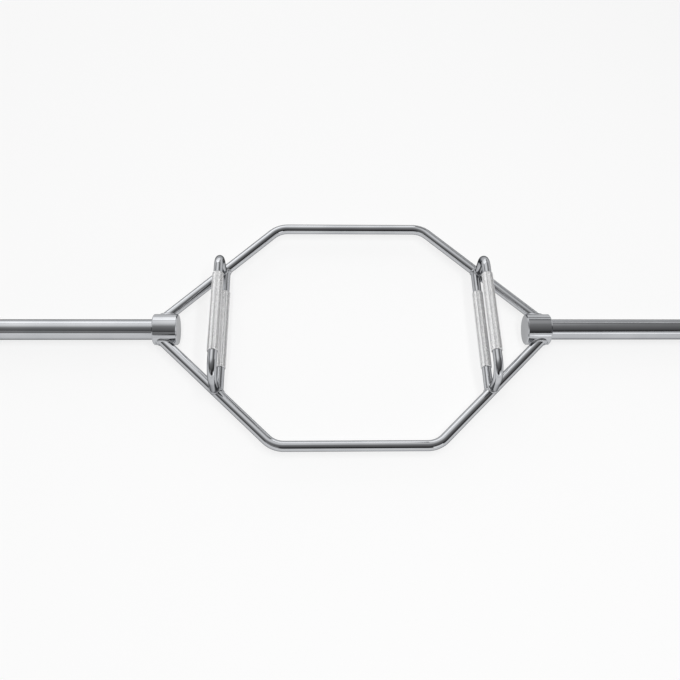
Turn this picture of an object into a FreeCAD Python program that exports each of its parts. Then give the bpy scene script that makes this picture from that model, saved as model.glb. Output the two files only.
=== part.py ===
import FreeCAD, Part
import math
import os

from FreeCAD import Vector

# Hex trap bar with a low and a raised handle at each side. All lengths are millimetres.
# +X runs out along the right plate sleeve, +Y to the rear and +Z up.
# The origin lies on the floor under the middle of the frame, and the two hubs stand on that floor.

# Plate sleeves and the plugs that close their outer ends
overall_length = 1830.0
sleeve_diameter = 50.0
sleeve_wall = 6.0
sleeve_shoulder = 1.0
sleeve_seat_depth = 46.0
sleeve_end_chamfer = 3.0
plug_thickness = 12.0
plug_recess = 1.5
plug_chamfer = 1.0
plug_clearance = 0.05

# Hubs that carry the sleeves and stop the plates
hub_diameter = 76.0
hub_length = 60.0
hub_chamfer = 2.5
socket_clearance = 0.1
socket_groove = 4.0

# Bent frame bars, measured between centre lines and between the sharp corners before bending
frame_bar_diameter = 25.0
frame_depth = 614.0
frame_run_length = 376.0
frame_bend_radius = 58.0
frame_slant_degrees = 45.0

# Handles, whose spans run between the centre lines of the slanted runs, and their grips
low_handle_span = 350.0
high_handle_span = 333.0
high_handle_rise = 86.0
high_handle_bend_radius = 37.0
handle_bar_diameter = 22.0
grip_diameter = 27.0
grip_length = 215.0
grip_clearance = 0.1
grip_end_chamfer = 1.0

# Fillet welds, given by their legs, with a crown that stands out by a share of the leg
frame_weld_leg = 5.0
handle_weld_leg = 3.5
weld_crown_share = 0.2
weld_section_count = 16

# Radii and places that follow from the sizes above
sleeve_radius = sleeve_diameter / 2
bore_radius = sleeve_radius - sleeve_wall
seat_radius = sleeve_radius - sleeve_shoulder
hub_radius = hub_diameter / 2
socket_radius = seat_radius + socket_clearance
frame_radius = frame_bar_diameter / 2
handle_radius = handle_bar_diameter / 2
grip_radius = grip_diameter / 2

along_x = Vector(1, 0, 0)
along_y = Vector(0, 1, 0)
along_z = Vector(0, 0, 1)
axis_height = hub_radius
axis_point = Vector(0, 0, axis_height)
end_x = overall_length / 2

# The centre lines of the rear and front bars, run on past the bars' ends, cross at the apex
slant = math.radians(frame_slant_degrees)
slant_direction = Vector(-math.cos(slant), math.sin(slant), 0)
apex_x = frame_run_length / 2 + frame_depth / 2 / math.tan(slant)
apex = Vector(apex_x, 0, axis_height)

# Each bar's centre line meets the hub's barrel midway along it
hub_centre_x = apex_x - hub_radius / math.tan(slant)
hub_inner_x = hub_centre_x - hub_length / 2
hub_outer_x = hub_centre_x + hub_length / 2
socket_floor_x = hub_outer_x - sleeve_seat_depth

# Each handle stands where the slanted runs are as far apart as it spans
low_handle_x = apex_x - low_handle_span / 2 / math.tan(slant)
high_handle_x = apex_x - high_handle_span / 2 / math.tan(slant)
high_handle_top = axis_height + high_handle_rise


def slant_point(x):
    """Point at x on the centre line of the rear right slanted run."""
    return Vector(x, (apex_x - x) * math.tan(slant), axis_height)


def across_x(shape):
    """Mirror image on the other side, left for right."""
    return shape.mirror(Vector(0, 0, 0), along_x)


def across_y(shape):
    """Mirror image on the other side, front for rear."""
    return shape.mirror(Vector(0, 0, 0), along_y)


def pair(shape):
    """A right piece and its left image, as one group of two solids."""
    return Part.makeCompound([shape, across_x(shape)])


def turned(profile):
    """Solid of a closed outline of (x, radius) points turned about the sleeve axis."""
    corners = [Vector(x, 0, axis_height + radius) for x, radius in profile]
    face = Part.Face(Part.makePolygon(corners + corners[:1]))
    return face.revolve(axis_point, along_x, 360)


def rounded_path(corners, radius):
    """Straight runs through the corners, joined by tangent arcs of one radius."""
    edges = []
    start = corners[0]
    for before, corner, after in zip(corners, corners[1:], corners[2:]):
        back = (before - corner).normalize()
        ahead = (after - corner).normalize()
        half_opening = back.getAngle(ahead) / 2
        setback = radius / math.tan(half_opening)
        inward = (back + ahead).normalize()
        middle = corner + inward * (radius / math.sin(half_opening) - radius)
        arc_start = corner + back * setback
        arc_end = corner + ahead * setback
        edges.append(Part.makeLine(start, arc_start))
        edges.append(Part.Arc(arc_start, middle, arc_end).toShape())
        start = arc_end
    edges.append(Part.makeLine(start, corners[-1]))
    return Part.Wire(edges)


def bent_bar(corners, bend_radius, bar_radius):
    """Round bar bent through the corners."""
    path = rounded_path(corners, bend_radius)
    section = Part.makeCircle(bar_radius, corners[0], corners[1] - corners[0])
    return path.makePipe(Part.Face(Part.Wire(section)))


class RoundBar:
    """Endless round bar about a line, for working out where another bar meets it."""

    def __init__(self, point, direction, radius):
        self.point = point
        self.direction = direction
        self.radius = radius

    def across(self, vector):
        """What is left of a vector once its share along the bar is taken off."""
        return vector - self.direction * vector.dot(self.direction)

    def normal(self, point):
        """Outward direction at a point."""
        return self.across(point - self.point).normalize()

    def surface_point(self, point):
        """Nearest point on the bar's surface."""
        outward = self.across(point - self.point)
        return point - outward + self.normal(point) * self.radius


def saddle_point(bar, base, turn):
    """Point, at a turn round the bar, where its surface runs into the base that it leaves."""
    sideways = bar.direction.cross(base.direction).normalize()
    upward = sideways.cross(bar.direction)
    rim = bar.point + (sideways * math.cos(turn) + upward * math.sin(turn)) * bar.radius
    offset = base.across(rim - base.point)
    climb = base.across(bar.direction)
    middle = offset.dot(climb)
    gain = climb.dot(climb)
    surplus = offset.dot(offset) - base.radius ** 2
    return rim + bar.direction * ((math.sqrt(middle ** 2 - gain * surplus) - middle) / gain)


def weld_section(bar, base, leg, turn):
    """Outline of a weld at a turn round the bar: a toe on each surface, a crown and a buried root."""
    corner = saddle_point(bar, base, turn)
    bar_normal = bar.normal(corner)
    base_normal = base.normal(corner)
    seam = bar_normal.cross(base_normal).normalize()
    outward = (bar_normal + base_normal).normalize()
    bar_toe = bar.surface_point(corner + bar_normal.cross(seam) * -leg)
    base_toe = base.surface_point(corner + base_normal.cross(seam) * leg)
    crown = (bar_toe + base_toe) / 2 + outward * (leg * weld_crown_share)
    root = corner - outward * leg
    return Part.makePolygon([root, bar_toe, crown, base_toe, root])


def fillet_weld(bar, base, leg, neighbours):
    """Weld lofted round the saddle where a bar leaves a base, cut to the pieces beside it."""
    turns = [2 * math.pi * step / weld_section_count for step in range(weld_section_count)]
    sections = [weld_section(bar, base, leg, turn) for turn in turns]
    return Part.makeLoft(sections, True, True, True).cut(neighbours)


def frame_bar():
    """Rear bar, bent at two corners, with both ends coped to the round of the hubs."""
    corner_x = frame_run_length / 2
    corner_y = frame_depth / 2
    route = [
        Vector(-apex_x, 0, axis_height),
        Vector(-corner_x, corner_y, axis_height),
        Vector(corner_x, corner_y, axis_height),
        apex,
    ]
    cope = Part.makeCylinder(hub_radius, overall_length, axis_point - along_x * end_x, along_x)
    return bent_bar(route, frame_bend_radius, frame_radius).cut(cope)


def hub():
    """Right hub, a turned barrel with a blind socket whose mouth is grooved for the weld."""
    return turned([
        (hub_inner_x, 0),
        (hub_inner_x, hub_radius - hub_chamfer),
        (hub_inner_x + hub_chamfer, hub_radius),
        (hub_outer_x - hub_chamfer, hub_radius),
        (hub_outer_x, hub_radius - hub_chamfer),
        (hub_outer_x, socket_radius + socket_groove),
        (hub_outer_x - socket_groove, socket_radius),
        (socket_floor_x, socket_radius),
        (socket_floor_x, 0),
    ])


def sleeve():
    """Right sleeve, a heavy tube whose turned-down end bottoms in the hub's socket."""
    return turned([
        (socket_floor_x, bore_radius),
        (socket_floor_x, seat_radius),
        (hub_outer_x - sleeve_shoulder, seat_radius),
        (hub_outer_x, sleeve_radius),
        (end_x - sleeve_end_chamfer, sleeve_radius),
        (end_x, sleeve_radius - sleeve_end_chamfer),
        (end_x, bore_radius),
    ])


def sleeve_plug():
    """Plug pressed into the outer end of the right sleeve."""
    plug_radius = bore_radius - plug_clearance
    face_x = end_x - plug_recess
    return turned([
        (face_x - plug_thickness, 0),
        (face_x - plug_thickness, plug_radius),
        (face_x - plug_chamfer, plug_radius),
        (face_x, plug_radius - plug_chamfer),
        (face_x, 0),
    ])


def sleeve_weld():
    """Ring of weld that fills the groove round the right sleeve, flush with the hub's face."""
    return turned([
        (hub_outer_x - socket_groove, seat_radius),
        (hub_outer_x - socket_groove, socket_radius),
        (hub_outer_x, socket_radius + socket_groove),
        (hub_outer_x, sleeve_radius),
        (hub_outer_x - sleeve_shoulder, seat_radius),
    ])


def low_handle(frame_bars):
    """Straight right handle between the slanted runs, with both ends coped to them."""
    rear_foot = slant_point(low_handle_x)
    bar = Part.makeCylinder(handle_radius, 2 * rear_foot.y, rear_foot, -along_y)
    return bar.cut(frame_bars)


def high_handle(frame_bars, low_bar):
    """Raised right handle bent from one bar, whose coped legs stand on the slanted runs."""
    rear_foot = slant_point(high_handle_x)
    rear_corner = Vector(high_handle_x, rear_foot.y, high_handle_top)
    front_corner = Vector(high_handle_x, -rear_foot.y, high_handle_top)
    front_foot = Vector(high_handle_x, -rear_foot.y, axis_height)
    route = [rear_foot, rear_corner, front_corner, front_foot]
    return bent_bar(route, high_handle_bend_radius, handle_radius).cut(frame_bars + [low_bar])


def grip(x, z):
    """Grip tube on the straight of a handle, with both outer rims chamfered."""
    start = Vector(x, -grip_length / 2, z)
    body = Part.makeCylinder(grip_radius, grip_length, start, along_y)
    rims = [edge for edge in body.Edges if isinstance(edge.Curve, Part.Circle)]
    bore = Part.makeCylinder(handle_radius + grip_clearance, grip_length, start, along_y)
    return body.makeChamfer(grip_end_chamfer, rims).cut(bore)


def frame_weld(neighbours):
    """Weld round the rear bar where it lands on the right hub."""
    bar = RoundBar(apex, slant_direction, frame_radius)
    barrel = RoundBar(axis_point, along_x, hub_radius)
    return fillet_weld(bar, barrel, frame_weld_leg, neighbours)


def handle_weld(x, direction, neighbours):
    """Weld round the rear end of a right handle that leaves the slanted run at x."""
    bar = RoundBar(slant_point(x), direction, handle_radius)
    run = RoundBar(apex, slant_direction, frame_radius)
    return fillet_weld(bar, run, handle_weld_leg, neighbours)


def trap_bar():
    """All pieces of the bar by name, made on the right and at the rear and mirrored."""
    rear_bar = frame_bar()
    front_bar = across_y(rear_bar)
    low_bar = low_handle([rear_bar, front_bar])
    high_bar = high_handle([rear_bar, front_bar], low_bar)
    right_hub = hub()
    low_weld = handle_weld(low_handle_x, -along_y, [rear_bar, low_bar, high_bar])
    high_weld = handle_weld(high_handle_x, along_z, [rear_bar, low_bar, high_bar, low_weld])
    pieces = {
        "rear_frame_bar": rear_bar,
        "front_frame_bar": front_bar,
        "hubs": pair(right_hub),
        "high_handles": pair(high_bar),
        "sleeve_plugs": pair(sleeve_plug()),
        "sleeve_welds": pair(sleeve_weld()),
    }
    sides = {
        "sleeve": sleeve(),
        "low_handle": low_bar,
        "low_grip": grip(low_handle_x, axis_height),
        "high_grip": grip(high_handle_x, high_handle_top),
    }
    for name, shape in sides.items():
        pieces["right_" + name] = shape
        pieces["left_" + name] = across_x(shape)
    welds = {
        "frame_welds": frame_weld([rear_bar, right_hub]),
        "low_handle_welds": low_weld,
        "high_handle_welds": high_weld,
    }
    for name, shape in welds.items():
        pieces["rear_" + name] = pair(shape)
        pieces["front_" + name] = pair(across_y(shape))
    return pieces


os.makedirs("parts", exist_ok=True)
for piece_name, piece in trap_bar().items():
    piece.exportStep("parts/" + piece_name + ".step")
    print(piece_name, len(piece.Solids), piece.isValid(), round(piece.Volume))
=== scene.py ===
import math

import bmesh
import bpy
import numpy as np
from mathutils import Matrix, Vector


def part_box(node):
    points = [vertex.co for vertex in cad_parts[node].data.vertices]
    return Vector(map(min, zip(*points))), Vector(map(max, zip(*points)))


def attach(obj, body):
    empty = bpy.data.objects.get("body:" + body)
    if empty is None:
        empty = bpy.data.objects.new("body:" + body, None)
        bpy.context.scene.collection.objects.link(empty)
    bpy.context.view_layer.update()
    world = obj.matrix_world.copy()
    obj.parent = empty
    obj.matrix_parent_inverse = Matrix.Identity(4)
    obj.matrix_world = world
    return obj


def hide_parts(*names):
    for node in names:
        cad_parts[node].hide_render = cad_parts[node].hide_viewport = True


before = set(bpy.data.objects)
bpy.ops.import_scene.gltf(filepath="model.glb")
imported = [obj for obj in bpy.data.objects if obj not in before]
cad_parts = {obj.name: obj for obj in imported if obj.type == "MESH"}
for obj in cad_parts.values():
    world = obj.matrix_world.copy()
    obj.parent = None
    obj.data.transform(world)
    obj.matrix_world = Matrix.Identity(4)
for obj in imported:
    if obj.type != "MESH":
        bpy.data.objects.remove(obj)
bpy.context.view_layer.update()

# Looks of a chromed hex trap bar, in metres in the frame of the CAD part: +X along the right
# sleeve, +Y to the rear and +Z up from the floor. The pieces below stand for the CAD nodes.

half_millimetres_each_metre = 2000


def from_box(length):
    """A length read from a CAD node's box, brought to the half millimetre that its facets blur."""
    return round(length * half_millimetres_each_metre) / half_millimetres_each_metre


# Sizes read from the frame
hub_low, hub_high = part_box("hubs")
hub_radius = from_box(hub_high.z - hub_low.z) / 2
axis_height = hub_radius
hub_outer_x = from_box(hub_high.x)
sleeve_low, sleeve_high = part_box("right_sleeve")
sleeve_radius = from_box(sleeve_high.z - sleeve_low.z) / 2
socket_floor_x = from_box(sleeve_low.x)
end_x = from_box(sleeve_high.x)
bar_low, bar_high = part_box("rear_frame_bar")
frame_radius = from_box(bar_high.z - bar_low.z) / 2
frame_y = from_box(bar_high.y) - frame_radius
handle_low, handle_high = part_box("right_low_handle")
handle_radius = from_box(handle_high.z - handle_low.z) / 2
low_handle_x = from_box(handle_low.x + handle_high.x) / 2
grip_low, grip_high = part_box("right_high_grip")
grip_radius = from_box(grip_high.z - grip_low.z) / 2
grip_length = from_box(grip_high.y - grip_low.y)
high_handle_x = from_box(grip_low.x + grip_high.x) / 2
high_handle_z = from_box(grip_low.z + grip_high.z) / 2
plug_face_x = from_box(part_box("sleeve_plugs")[1].x)

# Sizes that no box shows
hub_length = 0.060
hub_chamfer = 0.0025
socket_groove = 0.004
sleeve_shoulder = 0.001
sleeve_wall = 0.006
sleeve_end_chamfer = 0.003
plug_thickness = 0.012
plug_chamfer = 0.001
fit_gap = 0.0001
frame_bend_radius = 0.058
frame_slant = math.radians(45)
high_handle_bend_radius = 0.037
frame_weld_leg = 0.005
handle_weld_leg = 0.0035
weld_crown_share = 0.22
grip_chamfer = 0.001

# Rounding of turned edges, and how finely round forms are cut into faces
edge_round = 0.0005
edge_steps = 4
round_steps = 72
turned_steps = 128
bend_steps_each_degree = 0.4
cope_rings = 12
smooth_angle = math.radians(40)
merge_distance = 1e-7

# Knurl. Past the teeth, each end has one ring of points at its rim and one at its bore
knurl_teeth_round = 54
knurl_tooth_length = 0.0027
knurl_tooth_height = 0.00027
knurl_end_rings = 2
knurl_merge_distance = 1e-6

# Weld beads and their ripple. A bead's corner is looked for from some radii out along its bar
ripple_pitch = 0.0019
ripple_height = 0.00035
ripple_bow = 0.8
bead_steps = 240
bead_crown_steps = 10
crown_shares = [step / bead_crown_steps for step in range(bead_crown_steps + 1)]
bead_search_radii = 3

# Chrome: its tints, its grain, and how its patches, clouds and turning lines are drawn
bright = (0.55, 0.56, 0.58)
dull = (0.48, 0.49, 0.51)
knurl_bright = (0.98, 0.98, 0.98)
knurl_dull = (0.84, 0.84, 0.85)
weld_bright = (0.58, 0.59, 0.61)
weld_dull = (0.45, 0.46, 0.48)
even_grain = (900, 900, 900)
axial_grain = (30, 1600, 1600)
knurl_grain = (420, 420, 420)
grain_noise = {"Scale": 1, "Detail": 4}
patch_detail = 3
patch_span = (0.35, 0.7)
cloud_noise = {"Scale": 38, "Detail": 6, "Roughness": 0.65}
cloud_span = (0.35, 0.75)
line_wobble = {"Distortion": 0.8, "Detail": 2, "Detail Scale": 1.5}

# Studio: the wall levels run from the side away from the lit part of the ceiling, 0, to that part, 1.
# Heights are how far a direction points up, from 0 at the horizon to 1
floor_half = 30
floor_colour = (0.9, 0.9, 0.9, 1)
floor_roughness = 0.9
floor_own_white_share = 0.75
white = (1, 1, 1, 1)
lit_ceiling_side = (-0.3, 0.52, 0.8)
wall_levels = [
    (0.42, 0.01),
    (0.6, 0.1),
    (0.7, 0.16),
    (0.8, 0.22),
    (0.88, 0.3),
    (0.92, 0.5),
    (0.96, 0.85),
    (1.0, 1.25),
]
wall_dimming_by_height = {"From Min": 0.1, "From Max": 0.8, "To Min": 0.1}
horizon_level_by_height = {"From Max": 0.15, "To Min": 0.84, "To Max": 0.95}
walls_start_by_height = {"From Min": 0.2, "From Max": 0.34}
lamps = {
    "back_softbox": {"place": (-0.9, 2.6, 1.6), "target": (-0.9, 0, 1.6), "size": (3, 1.8), "watts": 20},
    "left_ceiling_lamp": {
        "place": (-0.62, -0.8, 3.2), "target": (-0.62, -0.8, 0), "size": (0.2, 1.8), "watts": 32,
        "seen_in_chrome": False,
    },
    "right_ceiling_lamp": {
        "place": (0.92, -0.8, 3.2), "target": (0.92, -0.8, 0), "size": (0.2, 1.8), "watts": 32,
        "seen_in_chrome": False,
    },
    "front_right_softbox": {
        "place": (1.8, -2.4, 1.0), "target": (0.7, 0, 0), "size": (1.4, 1.2), "watts": 4.5,
    },
    "front_left_fill": {"place": (-1.9, -2.4, 1.2), "target": (-0.7, 0, 0), "size": (2, 2), "watts": 3},
    "strip_light": {"place": (2.4, 2.4, 1.75), "target": (0.6, 0, 0), "size": (2.8, 0.6), "watts": 4.2},
}

# Camera: sensor and lens in millimetres, turns in degrees in the order of their axes
camera_sensor = 36
camera_lens = 42.35
camera_place = (-0.0968, -0.9920, 1.7411)
camera_turns = {"Z": 1.10, "X": -29.45, "Y": 2.17}

# Places that follow
hub_centre_x = hub_outer_x - hub_length / 2
hub_inner_x = hub_outer_x - hub_length
apex = Vector((hub_centre_x + hub_radius / math.tan(frame_slant), 0, axis_height))
corner_x = apex.x - frame_y / math.tan(frame_slant)
low_foot_y = (apex.x - low_handle_x) * math.tan(frame_slant)
high_foot_y = (apex.x - high_handle_x) * math.tan(frame_slant)
seat_radius = sleeve_radius - sleeve_shoulder
socket_radius = seat_radius + fit_gap
bore_radius = sleeve_radius - sleeve_wall
plug_radius = bore_radius - fit_gap / 2
along_x = Vector((1, 0, 0))
along_y = Vector((0, 1, 0))
along_z = Vector((0, 0, 1))


# Surfaces

class Skin:
    """Points and faces of a surface, with named marks for each point."""

    def __init__(self, points, faces, marks=None):
        self.points = np.array(points, float).reshape(-1, 3)
        self.faces = faces
        self.marks = marks or {}

    def mirrored(self, axis):
        """Image on the other side of the middle plane across an axis, 0 for X and 1 for Y."""
        points = self.points.copy()
        points[:, axis] *= -1
        return Skin(points, [face[::-1] for face in self.faces], self.marks)

    def joined(self, other):
        """Both surfaces as one."""
        shift = len(self.points)
        faces = self.faces + [tuple(index + shift for index in face) for face in other.faces]
        marks = {}
        for name, values in self.marks.items():
            marks[name] = np.concatenate([values, other.marks[name]])
        return Skin(np.concatenate([self.points, other.points]), faces, marks)


def ring_faces(ring_count, ring_size, closed):
    """Four-sided faces between rings of points, each ring closed on itself."""
    faces = []
    for ring in range(ring_count if closed else ring_count - 1):
        after = (ring + 1) % ring_count
        for step in range(ring_size):
            turn = (step + 1) % ring_size
            faces.append((
                ring * ring_size + step,
                ring * ring_size + turn,
                after * ring_size + turn,
                after * ring_size + step,
            ))
    return faces


def softened(profile, sharp):
    """Outline with its corners rounded by a small arc, apart from a sharp one and those on the axis."""
    outline = []
    count = len(profile)
    for index in range(count):
        corner = Vector(profile[index])
        if corner.y == 0 or profile[index] == sharp:
            outline.append(tuple(corner))
            continue
        back = (Vector(profile[index - 1]) - corner).normalized()
        ahead = (Vector(profile[(index + 1) % count]) - corner).normalized()
        half_opening = back.angle(ahead) / 2
        setback = edge_round / math.tan(half_opening)
        centre = corner + (back + ahead).normalized() * (edge_round / math.sin(half_opening))
        start = corner + back * setback - centre
        end = corner + ahead * setback - centre
        # A point just outside each end of the arc keeps the long sides straight in their shading
        outline.append(tuple(corner + back * (setback + edge_round)))
        for step in range(edge_steps + 1):
            outline.append(tuple(centre + start.slerp(end, step / edge_steps) * edge_round))
        outline.append(tuple(corner + ahead * (setback + edge_round)))
    return outline


def turned(outline):
    """Surface of a closed outline of (x, radius) points turned about the sleeve axis."""
    angles = [2 * math.pi * step / turned_steps for step in range(turned_steps)]
    points = [
        (x, radius * math.cos(angle), axis_height + radius * math.sin(angle))
        for x, radius in outline
        for angle in angles
    ]
    return Skin(points, ring_faces(len(outline), turned_steps, True))


class RoundBar:
    """Straight round bar, for working out where another bar meets it."""

    def __init__(self, point, direction, radius, reach=math.inf):
        self.point = point
        self.direction = direction
        self.radius = radius
        self.reach = reach

    def across(self, vector):
        """What is left of a vector once its share along the bar is taken off."""
        return vector - self.direction * vector.dot(self.direction)

    def normal(self, point):
        """Outward direction at a point."""
        return self.across(point - self.point).normalized()

    def surface_point(self, point):
        """Nearest point on the bar's surface."""
        return point - self.across(point - self.point) + self.normal(point) * self.radius

    def distance(self, point, direction):
        """How far a line runs from a point before it enters the bar, or infinity if it misses."""
        offset = self.across(point - self.point)
        climb = self.across(direction)
        middle = offset.dot(climb)
        gain = climb.dot(climb)
        inner = middle ** 2 - gain * (offset.dot(offset) - self.radius ** 2)
        if inner < 0:
            return math.inf
        run = -(math.sqrt(inner) + middle) / gain
        landing = point + direction * run - self.point
        return run if abs(landing.dot(self.direction)) <= self.reach else math.inf


def first_met(bases, point, direction):
    """The base that a line meets first, and the point where it does."""
    base = min(bases, key=lambda other: other.distance(point, direction))
    return base, point + direction * base.distance(point, direction)


def bent_path(corners, bend_radius):
    """Places and directions along straight runs joined by arcs, without the two far ends."""
    path = []
    for before, corner, after in zip(corners, corners[1:], corners[2:]):
        back = (before - corner).normalized()
        ahead = (after - corner).normalized()
        half_opening = back.angle(ahead) / 2
        turn = math.pi - 2 * half_opening
        inward = (back + ahead).normalized()
        centre = corner + inward * (bend_radius / math.sin(half_opening))
        axis = back.cross(ahead).normalized()
        start = corner + back * (bend_radius / math.tan(half_opening)) - centre
        steps = round(math.degrees(turn) * bend_steps_each_degree)
        for step in range(steps + 1):
            swing = Matrix.Rotation(-turn * step / steps, 3, axis)
            path.append((centre + swing @ start, swing @ -back))
    return path


def coped_rings(place, direction, rim, bases):
    """Rings of points from a bar's rim in towards its middle, run on along the bar to meet the bases."""
    rings = []
    for step in range(cope_rings):
        inward = [point.lerp(place, step / cope_rings) for point in rim]
        rings.append([first_met(bases, point, direction)[1] for point in inward])
    return rings


def bar_skin(path, normal, radius, start_bases, end_bases):
    """Round bar along a path in one plane, with both ends coped to the bases that they run into."""
    angles = [2 * math.pi * step / round_steps for step in range(round_steps)]
    rings = []
    for place, direction in path:
        side = direction.cross(normal)
        rings.append([place + (side * math.cos(a) + normal * math.sin(a)) * radius for a in angles])
    first_place, first_direction = path[0]
    last_place, last_direction = path[-1]
    start_cope = coped_rings(first_place, -first_direction, rings[0], start_bases)
    end_cope = coped_rings(last_place, last_direction, rings[-1], end_bases)
    rings = start_cope[::-1] + rings + end_cope
    points = [point for ring in rings for point in ring]
    faces = ring_faces(len(rings), round_steps, False)
    last_ring = (len(rings) - 1) * round_steps
    points.append(first_met(start_bases, first_place, -first_direction)[1])
    points.append(first_met(end_bases, last_place, last_direction)[1])
    for step in range(round_steps):
        turn = (step + 1) % round_steps
        faces.append((turn, step, len(points) - 2))
        faces.append((last_ring + step, last_ring + turn, len(points) - 1))
    return Skin(points, faces)


def bead_section(bar, base, corner, leg):
    """Points of a weld across its corner: the corner itself, then the crown from the bar to the base."""
    bar_normal = bar.normal(corner)
    base_normal = base.normal(corner)
    seam = bar_normal.cross(base_normal).normalized()
    outward = (bar_normal + base_normal).normalized()
    bar_toe = bar.surface_point(corner + bar_normal.cross(seam) * -leg)
    base_toe = base.surface_point(corner + base_normal.cross(seam) * leg)
    section = [corner]
    for share in crown_shares:
        crown = outward * (leg * weld_crown_share * math.sin(math.pi * share))
        section.append(bar_toe.lerp(base_toe, share) + crown)
    return section


def bead_skin(bar, bases, leg):
    """Weld bead round the place where a bar leaves its bases, marked for the ripple."""
    sideways = bar.direction.cross(bases[0].direction).normalized()
    upward = sideways.cross(bar.direction)
    far = bar.point + bar.direction * (bases[0].radius + bar.radius) * bead_search_radii
    corners = []
    points = []
    for step in range(bead_steps):
        turn = 2 * math.pi * step / bead_steps
        rim = far + (sideways * math.cos(turn) + upward * math.sin(turn)) * bar.radius
        base, corner = first_met(bases, rim, -bar.direction)
        corners.append(corner)
        points.extend(bead_section(bar, base, corner, leg))
    strides = [(after - corner).length for corner, after in zip(corners, corners[1:] + corners[:1])]
    seam_length = sum(strides)
    ripples = round(seam_length / ripple_pitch)
    runs = np.cumsum([0] + strides[:-1])
    section_size = len(crown_shares) + 1
    marks = {
        "ripple_along": np.repeat(runs * ripples / seam_length, section_size),
        "ripple_across": np.tile([-1] + [2 * share - 1 for share in crown_shares], bead_steps),
    }
    return Skin(points, ring_faces(bead_steps, section_size, True), marks)


def mesh_object(name, skin):
    """Object with a skin's faces, facing outward and smooth where they meet at a small angle."""
    mesh = bpy.data.meshes.new(name)
    mesh.from_pydata([tuple(point) for point in skin.points], [], skin.faces)
    for mark, values in skin.marks.items():
        attribute = mesh.attributes.new(mark, "FLOAT", "POINT")
        attribute.data.foreach_set("value", values.astype(np.float32))
    work = bmesh.new()
    work.from_mesh(mesh)
    if not skin.marks:
        bmesh.ops.remove_doubles(work, verts=work.verts, dist=merge_distance)
    bmesh.ops.recalc_face_normals(work, faces=work.faces)
    work.to_mesh(mesh)
    work.free()
    mesh.shade_smooth()
    mesh.set_sharp_from_angle(angle=smooth_angle)
    made = bpy.data.objects.new(name, mesh)
    bpy.context.scene.collection.objects.link(made)
    return made


# Node trees

def connect(tree, value, socket):
    """Link an output to a socket, or set the socket to a plain value."""
    if isinstance(value, bpy.types.NodeSocket):
        tree.links.new(value, socket)
    else:
        socket.default_value = value


def add_node(tree, kind, inputs=None, **settings):
    """New node with its settings, its inputs linked or set by name or number."""
    made = tree.nodes.new(kind)
    for setting, value in settings.items():
        setattr(made, setting, value)
    for key, value in (inputs or {}).items():
        connect(tree, value, made.inputs[key])
    return made


def calculate(tree, operation, *values):
    """Output of a math node."""
    return add_node(tree, "ShaderNodeMath", dict(enumerate(values)), operation=operation).outputs[0]


def scaled(tree, vector, factor):
    """Output that is a vector or colour times a number."""
    made = add_node(tree, "ShaderNodeVectorMath", {0: vector, "Scale": factor}, operation="SCALE")
    return made.outputs[0]


def ranged(tree, value, limits):
    """Output that takes a value from one range to another."""
    return add_node(tree, "ShaderNodeMapRange", {"Value": value, **limits}).outputs[0]


# Numbers of a mix node's two inputs and its output, for each kind of value
mix_sockets = {"FLOAT": (2, 3, 0), "RGBA": (6, 7, 2)}


def choose(tree, switch, no, yes, kind="FLOAT"):
    """Output that is the first value where the switch is 0 and the second where it is 1."""
    first, second, result = mix_sockets[kind]
    made = add_node(tree, "ShaderNodeMix", {0: switch, first: no, second: yes}, data_type=kind)
    return made.outputs[result]


def geometry_tree(name, inputs):
    """New geometry tree with named inputs, and the output sockets of those inputs."""
    tree = bpy.data.node_groups.new(name, "GeometryNodeTree")
    tree.interface.new_socket("Geometry", in_out="OUTPUT", socket_type="NodeSocketGeometry")
    tree.interface.new_socket("Geometry", in_out="INPUT", socket_type="NodeSocketGeometry")
    for label, kind in inputs.items():
        tree.interface.new_socket(label, in_out="INPUT", socket_type=kind)
    return tree, tree.nodes.new("NodeGroupInput").outputs


def finish_tree(tree, geometry, material):
    """Real geometry with its material as the tree's output."""
    real = add_node(tree, "GeometryNodeRealizeInstances", {0: geometry}).outputs[0]
    painted = add_node(tree, "GeometryNodeSetMaterial", {"Geometry": real, "Material": material})
    tree.links.new(painted.outputs[0], tree.nodes.new("NodeGroupOutput").inputs[0])


def made_real(piece, tree, values):
    """Run a geometry tree on a piece and keep the result as its plain mesh."""
    modifier = piece.modifiers.new(tree.name, "NODES")
    modifier.node_group = tree
    for item in tree.interface.items_tree:
        if item.in_out == "INPUT" and item.name in values:
            modifier[item.identifier] = values[item.name]
    depsgraph = bpy.context.evaluated_depsgraph_get()
    mesh = bpy.data.meshes.new_from_object(piece.evaluated_get(depsgraph), depsgraph=depsgraph)
    piece.modifiers.clear()
    piece.data = mesh


def counted_grid(tree, columns, rings):
    """Grid of faces, with the column and the ring of each point. Its last ring counts as the first."""
    grid = add_node(tree, "GeometryNodeMeshGrid", {
        "Size X": columns,
        "Size Y": rings,
        "Vertices X": calculate(tree, "ADD", columns, 1),
        "Vertices Y": calculate(tree, "ADD", rings, 1),
    })
    position = tree.nodes.new("GeometryNodeInputPosition").outputs[0]
    place = add_node(tree, "ShaderNodeSeparateXYZ", {0: position}).outputs
    from_left = calculate(tree, "ADD", place["X"], calculate(tree, "DIVIDE", columns, 2))
    from_start = calculate(tree, "ADD", place["Y"], calculate(tree, "DIVIDE", rings, 2))
    column = calculate(tree, "ROUND", from_left)
    ring = calculate(tree, "FLOORED_MODULO", calculate(tree, "ROUND", from_start), rings)
    return grid.outputs["Mesh"], column, ring


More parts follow.
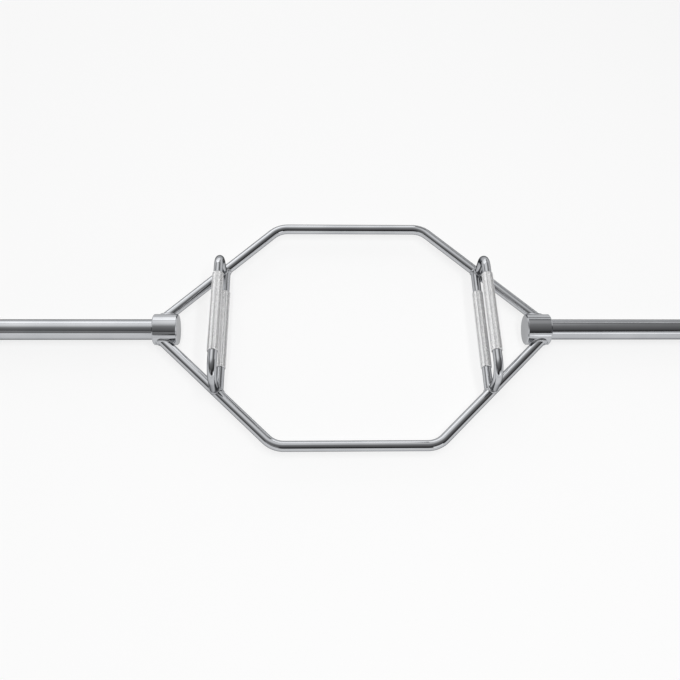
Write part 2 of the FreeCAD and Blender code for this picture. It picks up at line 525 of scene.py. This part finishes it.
def knurl_tree():
    """Diamond-knurled tube about a line along Y: two crossed sets of grooves leave rows of pyramids."""
    tree, given = geometry_tree("Diamond knurl", {
        "Centre": "NodeSocketVector",
        "Length": "NodeSocketFloat",
        "Bore Radius": "NodeSocketFloat",
        "Root Radius": "NodeSocketFloat",
        "Tooth Height": "NodeSocketFloat",
        "Chamfer": "NodeSocketFloat",
        "Half Teeth Round": "NodeSocketInt",
        "Half Teeth Along": "NodeSocketInt",
        "Material": "NodeSocketMaterial",
    })
    # Rings run from the bore at one end over the teeth to the bore at the other, and back to the first
    columns = given["Half Teeth Round"]
    rows = given["Half Teeth Along"]
    rings = calculate(tree, "ADD", rows, 2 * knurl_end_rings + 1)
    mesh, column, ring = counted_grid(tree, columns, rings)
    half_rows = calculate(tree, "DIVIDE", rows, 2)
    from_middle = calculate(tree, "SUBTRACT", ring, calculate(tree, "ADD", half_rows, knurl_end_rings))
    # Rings are whole numbers, so half a ring more tells one from the next
    half_ring = 0.5
    rings_out = calculate(tree, "SUBTRACT", calculate(tree, "ABSOLUTE", from_middle), half_rows)
    past_teeth = calculate(tree, "GREATER_THAN", rings_out, half_ring)
    past_rim = calculate(tree, "GREATER_THAN", rings_out, 1 + half_ring)
    half_length = calculate(tree, "DIVIDE", given["Length"], 2)
    toothed_half = calculate(tree, "SUBTRACT", half_length, given["Chamfer"])
    toothed_share = calculate(tree, "DIVIDE", from_middle, half_rows)
    tooth_y = calculate(tree, "MULTIPLY", toothed_share, toothed_half)
    end_y = calculate(tree, "MULTIPLY", calculate(tree, "SIGN", from_middle), half_length)
    is_tip = calculate(tree, "FLOORED_MODULO", calculate(tree, "ADD", column, ring), 2)
    tooth_radius = calculate(tree, "MULTIPLY_ADD", is_tip, given["Tooth Height"], given["Root Radius"])
    rim_radius = calculate(tree, "SUBTRACT", given["Root Radius"], given["Chamfer"])
    outer_radius = choose(tree, past_teeth, tooth_radius, rim_radius)
    radius = choose(tree, past_rim, outer_radius, given["Bore Radius"])
    angle = calculate(tree, "DIVIDE", calculate(tree, "MULTIPLY", column, 2 * math.pi), columns)
    spot = add_node(tree, "ShaderNodeCombineXYZ", {
        "X": calculate(tree, "MULTIPLY", radius, calculate(tree, "SINE", angle)),
        "Y": choose(tree, past_teeth, tooth_y, end_y),
        "Z": calculate(tree, "MULTIPLY", radius, calculate(tree, "COSINE", angle)),
    }).outputs[0]
    moved = add_node(tree, "ShaderNodeVectorMath", {0: spot, 1: given["Centre"]}, operation="ADD")
    # The tips are marked on the flat grid, because the count follows its points before they move. The
    # knurled chrome paints shade into the grooves from this mark
    marked = add_node(
        tree, "GeometryNodeStoreNamedAttribute",
        {"Geometry": mesh, "Name": "tooth_tip", "Value": is_tip},
        data_type="FLOAT", domain="POINT",
    ).outputs[0]
    wrapped = add_node(tree, "GeometryNodeSetPosition", {"Geometry": marked, "Position": moved.outputs[0]})
    # The short diagonals are the ones along the grooves, so each tooth gets four flat sides
    split = add_node(
        tree, "GeometryNodeTriangulate", {0: wrapped.outputs[0]}, quad_method="SHORTEST_DIAGONAL",
    ).outputs[0]
    closed = add_node(
        tree, "GeometryNodeMergeByDistance", {"Geometry": split, "Distance": knurl_merge_distance},
    ).outputs[0]
    flat = add_node(tree, "GeometryNodeSetShadeSmooth", {"Geometry": closed, "Shade Smooth": False})
    finish_tree(tree, flat.outputs[0], given["Material"])
    return tree


def mark_read(tree, name):
    """Output of a mark that a skin's points carry."""
    return add_node(tree, "GeometryNodeInputNamedAttribute", {"Name": name}, data_type="FLOAT").outputs[0]


def ripple_tree():
    """Raises the crescents that a weld pool leaves along a marked bead."""
    tree, given = geometry_tree("Weld ripple", {
        "Ripple Height": "NodeSocketFloat",
        "Ripple Bow": "NodeSocketFloat",
        "Material": "NodeSocketMaterial",
    })
    along = mark_read(tree, "ripple_along")
    across = mark_read(tree, "ripple_across")
    across_squared = calculate(tree, "MULTIPLY", across, across)
    bowed = calculate(tree, "MULTIPLY_ADD", across_squared, given["Ripple Bow"], along)
    swing = calculate(tree, "SINE", calculate(tree, "MULTIPLY", bowed, math.pi))
    wave = calculate(tree, "ABSOLUTE", swing)
    crown = calculate(tree, "SUBTRACT", 1, across_squared)
    lift = calculate(tree, "MULTIPLY", calculate(tree, "MULTIPLY", wave, crown), given["Ripple Height"])
    normal = tree.nodes.new("GeometryNodeInputNormal").outputs[0]
    raised = add_node(tree, "GeometryNodeSetPosition", {
        "Geometry": given["Geometry"],
        "Offset": scaled(tree, normal, lift),
    })
    finish_tree(tree, raised.outputs[0], given["Material"])
    return tree


# Chrome

def drifting_tint(tree, place, tints, patch_scale):
    """Colour that drifts between two tints in soft patches."""
    drift = add_node(tree, "ShaderNodeTexNoise", {
        "Vector": place, "Scale": patch_scale, "Detail": patch_detail,
    })
    made = add_node(tree, "ShaderNodeValToRGB", {0: drift.outputs[0]})
    for stop, position, tint in zip(made.color_ramp.elements, patch_span, tints):
        stop.position = position
        stop.color = (*tint, 1)
    return made.outputs[0]


def painted_groove_shade(tree, colour, groove_shade):
    """Colour with painted shade: darker from the knurl's marked tooth tips into the grooves between them.
    """
    tip = add_node(tree, "ShaderNodeAttribute", attribute_name="tooth_tip").outputs["Fac"]
    return scaled(tree, colour, ranged(tree, tip, {"To Min": groove_shade, "To Max": 1}))


def clouded_gloss(tree, place, gloss, haze):
    """Roughness that clouds from a gloss to a haze."""
    clouds = add_node(tree, "ShaderNodeTexNoise", {"Vector": place, **cloud_noise})
    return ranged(tree, clouds.outputs[0], {
        "From Min": cloud_span[0], "From Max": cloud_span[1], "To Min": gloss, "To Max": haze,
    })


def grain_normal(tree, place, scale, depth):
    """Surface direction with the fine grain of the steel under its plating."""
    stretched = add_node(tree, "ShaderNodeMapping", {"Vector": place, "Scale": scale}).outputs[0]
    grain = add_node(tree, "ShaderNodeTexNoise", {"Vector": stretched, **grain_noise}).outputs[0]
    return add_node(tree, "ShaderNodeBump", {"Height": grain, "Strength": 1, "Distance": depth}).outputs[0]


def turned_normal(tree, place, normal, kind, scale, depth):
    """Surface direction with turning lines: bands along the sleeve axis, or rings round it on a face."""
    centre = {"Vector": place, "Location": (0, 0, -axis_height)}
    centred = add_node(tree, "ShaderNodeMapping", centre).outputs[0]
    lines = add_node(
        tree, "ShaderNodeTexWave", {"Vector": centred, "Scale": scale, **line_wobble},
        wave_type=kind, bands_direction="X", rings_direction="X",
    )
    return add_node(tree, "ShaderNodeBump", {
        "Height": lines.outputs[1], "Normal": normal, "Strength": 1, "Distance": depth,
    }).outputs[0]


def chrome(
    name, gloss, haze, grain_depth, grain=even_grain, tints=(dull, bright),
    patch_scale=9, lines=None, rim=0.12, metal=1, groove_shade=None,
):
    """Plated steel: drifting tint, clouded gloss, fine grain, and turning lines or painted shade in the
    knurl's grooves if given.
    """
    material = bpy.data.materials.new(name)
    material.use_nodes = True
    tree = material.node_tree
    shader = tree.nodes["Principled BSDF"].inputs
    shader["Metallic"].default_value = metal
    shader["Specular Tint"].default_value = (rim, rim, rim, 1)
    place = tree.nodes.new("ShaderNodeTexCoord").outputs["Object"]
    colour = drifting_tint(tree, place, tints, patch_scale)
    # Painted shade: the knurl's grooves darken below the tooth tips
    if groove_shade:
        colour = painted_groove_shade(tree, colour, groove_shade)
    normal = grain_normal(tree, place, grain, grain_depth)
    if lines:
        normal = turned_normal(tree, place, normal, **lines)
    tree.links.new(colour, shader["Base Color"])
    tree.links.new(clouded_gloss(tree, place, gloss, haze), shader["Roughness"])
    tree.links.new(normal, shader["Normal"])
    return material


frame_chrome = chrome("frame_chrome", gloss=0.035, haze=0.09, grain_depth=0.000004)
handle_chrome = chrome("handle_chrome", gloss=0.04, haze=0.11, grain_depth=0.000005)
hub_chrome = chrome(
    "hub_chrome", gloss=0.04, haze=0.1, grain_depth=0.000004, rim=0.6,
    lines={"kind": "RINGS", "scale": 180, "depth": 0.000004},
)
sleeve_chrome = chrome(
    "sleeve_chrome", gloss=0.04, haze=0.12, grain_depth=0.000006, grain=axial_grain,
    lines={"kind": "BANDS", "scale": 120, "depth": 0.000006},
)
plug_chrome = chrome(
    "plug_chrome", gloss=0.08, haze=0.2, grain_depth=0.000005, rim=0.8,
    lines={"kind": "RINGS", "scale": 220, "depth": 0.00002},
)
# Its grooves get painted shade, down to 0.8 of the tint
knurled_chrome = chrome(
    "knurled_chrome", gloss=0.07, haze=0.15, grain_depth=0.00005, grain=knurl_grain,
    tints=(knurl_dull, knurl_bright), patch_scale=300, metal=0.82, groove_shade=0.8,
)
weld_chrome = chrome(
    "weld_chrome", gloss=0.2, haze=0.36, grain_depth=0.00003, tints=(weld_dull, weld_bright),
)


# Pieces

def fit_piece(piece, material, node):
    """Give a finished piece its material, hang it from the root body and hide the CAD node that it stands
    for.
    """
    piece.data.materials.clear()
    piece.data.materials.append(material)
    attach(piece, "root")
    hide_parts(node)


def both_sides(skin):
    """A right-hand skin and its image on the left as one."""
    return skin.joined(skin.mirrored(0))


hub_barrel = RoundBar(Vector((0, 0, axis_height)), along_x, hub_radius)
rear_slant = RoundBar(apex, Vector((-math.cos(frame_slant), math.sin(frame_slant), 0)), frame_radius)
front_slant = RoundBar(apex, Vector((-math.cos(frame_slant), -math.sin(frame_slant), 0)), frame_radius)
low_bar = RoundBar(Vector((low_handle_x, 0, axis_height)), along_y, handle_radius, low_foot_y)

# Bent frame bars
frame_path = bent_path([
    Vector((-apex.x, 0, axis_height)),
    Vector((-corner_x, frame_y, axis_height)),
    Vector((corner_x, frame_y, axis_height)),
    apex,
], frame_bend_radius)
rear_bar = bar_skin(frame_path, along_z, frame_radius, [hub_barrel], [hub_barrel])
for name, skin in {"rear_frame_bar": rear_bar, "front_frame_bar": rear_bar.mirrored(1)}.items():
    fit_piece(mesh_object(name + "_chromed", skin), frame_chrome, name)

# Hubs, sleeves and plugs, turned about the sleeve axis. The sleeve's square end fills the socket's corner
socket_corner = (socket_floor_x, socket_radius)
right_hub = turned(softened([
    (hub_inner_x, 0),
    (hub_inner_x, hub_radius - hub_chamfer),
    (hub_inner_x + hub_chamfer, hub_radius),
    (hub_outer_x - hub_chamfer, hub_radius),
    (hub_outer_x, hub_radius - hub_chamfer),
    (hub_outer_x, socket_radius + socket_groove),
    (hub_outer_x - socket_groove, socket_radius),
    socket_corner,
    (socket_floor_x, 0),
], socket_corner))
fit_piece(mesh_object("hubs_turned", both_sides(right_hub)), hub_chrome, "hubs")
right_sleeve = turned([
    (socket_floor_x, bore_radius),
    (socket_floor_x, seat_radius),
    (hub_outer_x - sleeve_shoulder, seat_radius),
    (hub_outer_x, sleeve_radius),
    (end_x - sleeve_end_chamfer, sleeve_radius),
    (end_x, sleeve_radius - sleeve_end_chamfer),
    (end_x, bore_radius),
])
for name, skin in {"right_sleeve": right_sleeve, "left_sleeve": right_sleeve.mirrored(0)}.items():
    fit_piece(mesh_object(name + "_turned", skin), sleeve_chrome, name)
right_plug = turned([
    (plug_face_x - plug_thickness, 0),
    (plug_face_x - plug_thickness, plug_radius),
    (plug_face_x - plug_chamfer, plug_radius),
    (plug_face_x, plug_radius - plug_chamfer),
    (plug_face_x, 0),
])
fit_piece(mesh_object("plugs_turned", both_sides(right_plug)), plug_chrome, "sleeve_plugs")

# Handles, coped to the slanted runs, and the raised ones to the low ones too
low_path = [
    (Vector((low_handle_x, -grip_length / 2, axis_height)), along_y),
    (Vector((low_handle_x, grip_length / 2, axis_height)), along_y),
]
right_low = bar_skin(low_path, along_z, handle_radius, [front_slant], [rear_slant])
for name, skin in {"right_low_handle": right_low, "left_low_handle": right_low.mirrored(0)}.items():
    fit_piece(mesh_object(name + "_chromed", skin), handle_chrome, name)
high_path = bent_path([
    Vector((high_handle_x, -high_foot_y, axis_height)),
    Vector((high_handle_x, -high_foot_y, high_handle_z)),
    Vector((high_handle_x, high_foot_y, high_handle_z)),
    Vector((high_handle_x, high_foot_y, axis_height)),
], high_handle_bend_radius)
right_high = bar_skin(high_path, along_x, handle_radius, [front_slant, low_bar], [rear_slant, low_bar])
fit_piece(
    mesh_object("raised_handles", both_sides(right_high)), handle_chrome, "high_handles",
)

# Knurled grips
knurl = knurl_tree()
for name, centre in {
    "right_low_grip": (low_handle_x, 0, axis_height),
    "left_low_grip": (-low_handle_x, 0, axis_height),
    "right_high_grip": (high_handle_x, 0, high_handle_z),
    "left_high_grip": (-high_handle_x, 0, high_handle_z),
}.items():
    grip = mesh_object(name + "_knurled", Skin([], []))
    made_real(grip, knurl, {
        "Centre": centre,
        "Length": grip_length,
        "Bore Radius": handle_radius + fit_gap,
        "Root Radius": grip_radius - knurl_tooth_height,
        "Tooth Height": knurl_tooth_height,
        "Chamfer": grip_chamfer,
        "Half Teeth Round": 2 * knurl_teeth_round,
        "Half Teeth Along": 2 * round(grip_length / knurl_tooth_length),
        "Material": knurled_chrome,
    })
    fit_piece(grip, knurled_chrome, name)

# Weld beads
ripple = ripple_tree()
low_end = RoundBar(Vector((low_handle_x, low_foot_y, axis_height)), -along_y, handle_radius)
high_end = RoundBar(Vector((high_handle_x, high_foot_y, axis_height)), along_z, handle_radius)
beads = {
    "frame_welds": bead_skin(rear_slant, [hub_barrel], frame_weld_leg),
    "low_handle_welds": bead_skin(low_end, [rear_slant], handle_weld_leg),
    "high_handle_welds": bead_skin(high_end, [rear_slant, low_bar], handle_weld_leg),
}
for name, skin in beads.items():
    rear = both_sides(skin)
    for run, both in {"rear_": rear, "front_": rear.mirrored(1)}.items():
        bead = mesh_object(run + name + "_rippled", both)
        made_real(bead, ripple, {
            "Ripple Height": ripple_height, "Ripple Bow": ripple_bow, "Material": weld_chrome,
        })
        fit_piece(bead, weld_chrome, run + name)

# The rings between sleeves and hubs keep their CAD mesh
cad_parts["sleeve_welds"].data.materials.clear()
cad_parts["sleeve_welds"].data.materials.append(weld_chrome)


# Stage

def seen_directly(tree):
    """Output that is 1 for what the camera sees, also in metal and glass, and 0 for other light."""
    path = tree.nodes.new("ShaderNodeLightPath").outputs
    metal = calculate(tree, "MAXIMUM", path["Is Glossy Ray"], path["Is Transmission Ray"])
    return calculate(tree, "MAXIMUM", path["Is Camera Ray"], metal)


def floor_paint():
    """Pale matt paint. Part of its white is its own, so that the shadows on it stay light."""
    material = bpy.data.materials.new("floor_paint")
    material.use_nodes = True
    tree = material.node_tree
    paint = tree.nodes["Principled BSDF"]
    paint.inputs["Base Color"].default_value = floor_colour
    paint.inputs["Roughness"].default_value = floor_roughness
    paint.inputs["Specular IOR Level"].default_value = 0
    glow = add_node(tree, "ShaderNodeEmission", {"Color": white, "Strength": 1})
    own_white = calculate(tree, "MULTIPLY", seen_directly(tree), floor_own_white_share)
    mixed = add_node(tree, "ShaderNodeMixShader", {0: own_white, 1: paint.outputs[0], 2: glow.outputs[0]})
    tree.links.new(mixed.outputs[0], tree.nodes["Material Output"].inputs["Surface"])
    return material


def lay_floor():
    """Wide flat floor under the part."""
    sides = [(-1, -1), (1, -1), (1, 1), (-1, 1)]
    mesh = bpy.data.meshes.new("floor")
    mesh.from_pydata([(x * floor_half, y * floor_half, 0) for x, y in sides], [], [(0, 1, 2, 3)])
    mesh.materials.append(floor_paint())
    floor = bpy.data.objects.new("floor", mesh)
    bpy.context.scene.collection.objects.link(floor)


def grey_ramp(tree, value, levels):
    """Grey that follows a rising list of positions and levels."""
    made = add_node(tree, "ShaderNodeValToRGB", {0: value})
    stops = made.color_ramp.elements
    stops[0].position = levels[0][0]
    stops[1].position = levels[-1][0]
    for position, level in levels[1:-1]:
        stops.new(position)
    for stop, (position, level) in zip(stops, levels):
        stop.color = (level, level, level, 1)
    return made.outputs[0]


def light_room():
    """Studio room, with dark walls between a pale horizon and a ceiling that is lit towards the rear."""
    world = bpy.data.worlds.new("studio")
    bpy.context.scene.world = world
    world.use_nodes = True
    tree = world.node_tree
    direction = tree.nodes.new("ShaderNodeTexCoord").outputs["Generated"]
    height = add_node(tree, "ShaderNodeSeparateXYZ", {0: direction}).outputs["Z"]
    facing = add_node(
        tree, "ShaderNodeVectorMath", {0: direction, 1: lit_ceiling_side}, operation="DOT_PRODUCT",
    ).outputs["Value"]
    walls = grey_ramp(tree, ranged(tree, facing, {"From Min": -1, "From Max": 1}), wall_levels)
    dim_walls = scaled(tree, walls, ranged(tree, height, wall_dimming_by_height))
    horizon = ranged(tree, height, horizon_level_by_height)
    room = choose(tree, ranged(tree, height, walls_start_by_height), horizon, dim_walls, "RGBA")
    tree.links.new(room, tree.nodes["Background"].inputs["Color"])


def hang_lamp(name, place, target, size, watts, seen_in_chrome=True):
    """Soft rectangular lamp aimed at a point."""
    data = bpy.data.lights.new(name, "AREA")
    data.shape = "RECTANGLE"
    data.size, data.size_y = size
    data.energy = watts
    lamp = bpy.data.objects.new(name, data)
    lamp.location = place
    lamp.rotation_mode = "QUATERNION"
    lamp.rotation_quaternion = (Vector(target) - Vector(place)).to_track_quat("-Z", "Y")
    lamp.visible_glossy = seen_in_chrome
    bpy.context.scene.collection.objects.link(lamp)


def set_camera():
    """Camera at the photograph's viewing angle."""
    data = bpy.data.cameras.new("camera")
    data.sensor_width = camera_sensor
    data.lens = camera_lens
    turn = Matrix.Identity(3)
    for axis, degrees in camera_turns.items():
        turn = turn @ Matrix.Rotation(math.radians(degrees), 3, axis)
    camera = bpy.data.objects.new("camera", data)
    camera.matrix_world = Matrix.Translation(camera_place) @ turn.transposed().to_4x4()
    bpy.context.scene.collection.objects.link(camera)
    bpy.context.scene.camera = camera


lay_floor()
light_room()
for name, settings in lamps.items():
    hang_lamp(name, **settings)
set_camera()
bpy.context.scene.view_settings.view_transform = "Standard"

bpy.context.view_layer.update()
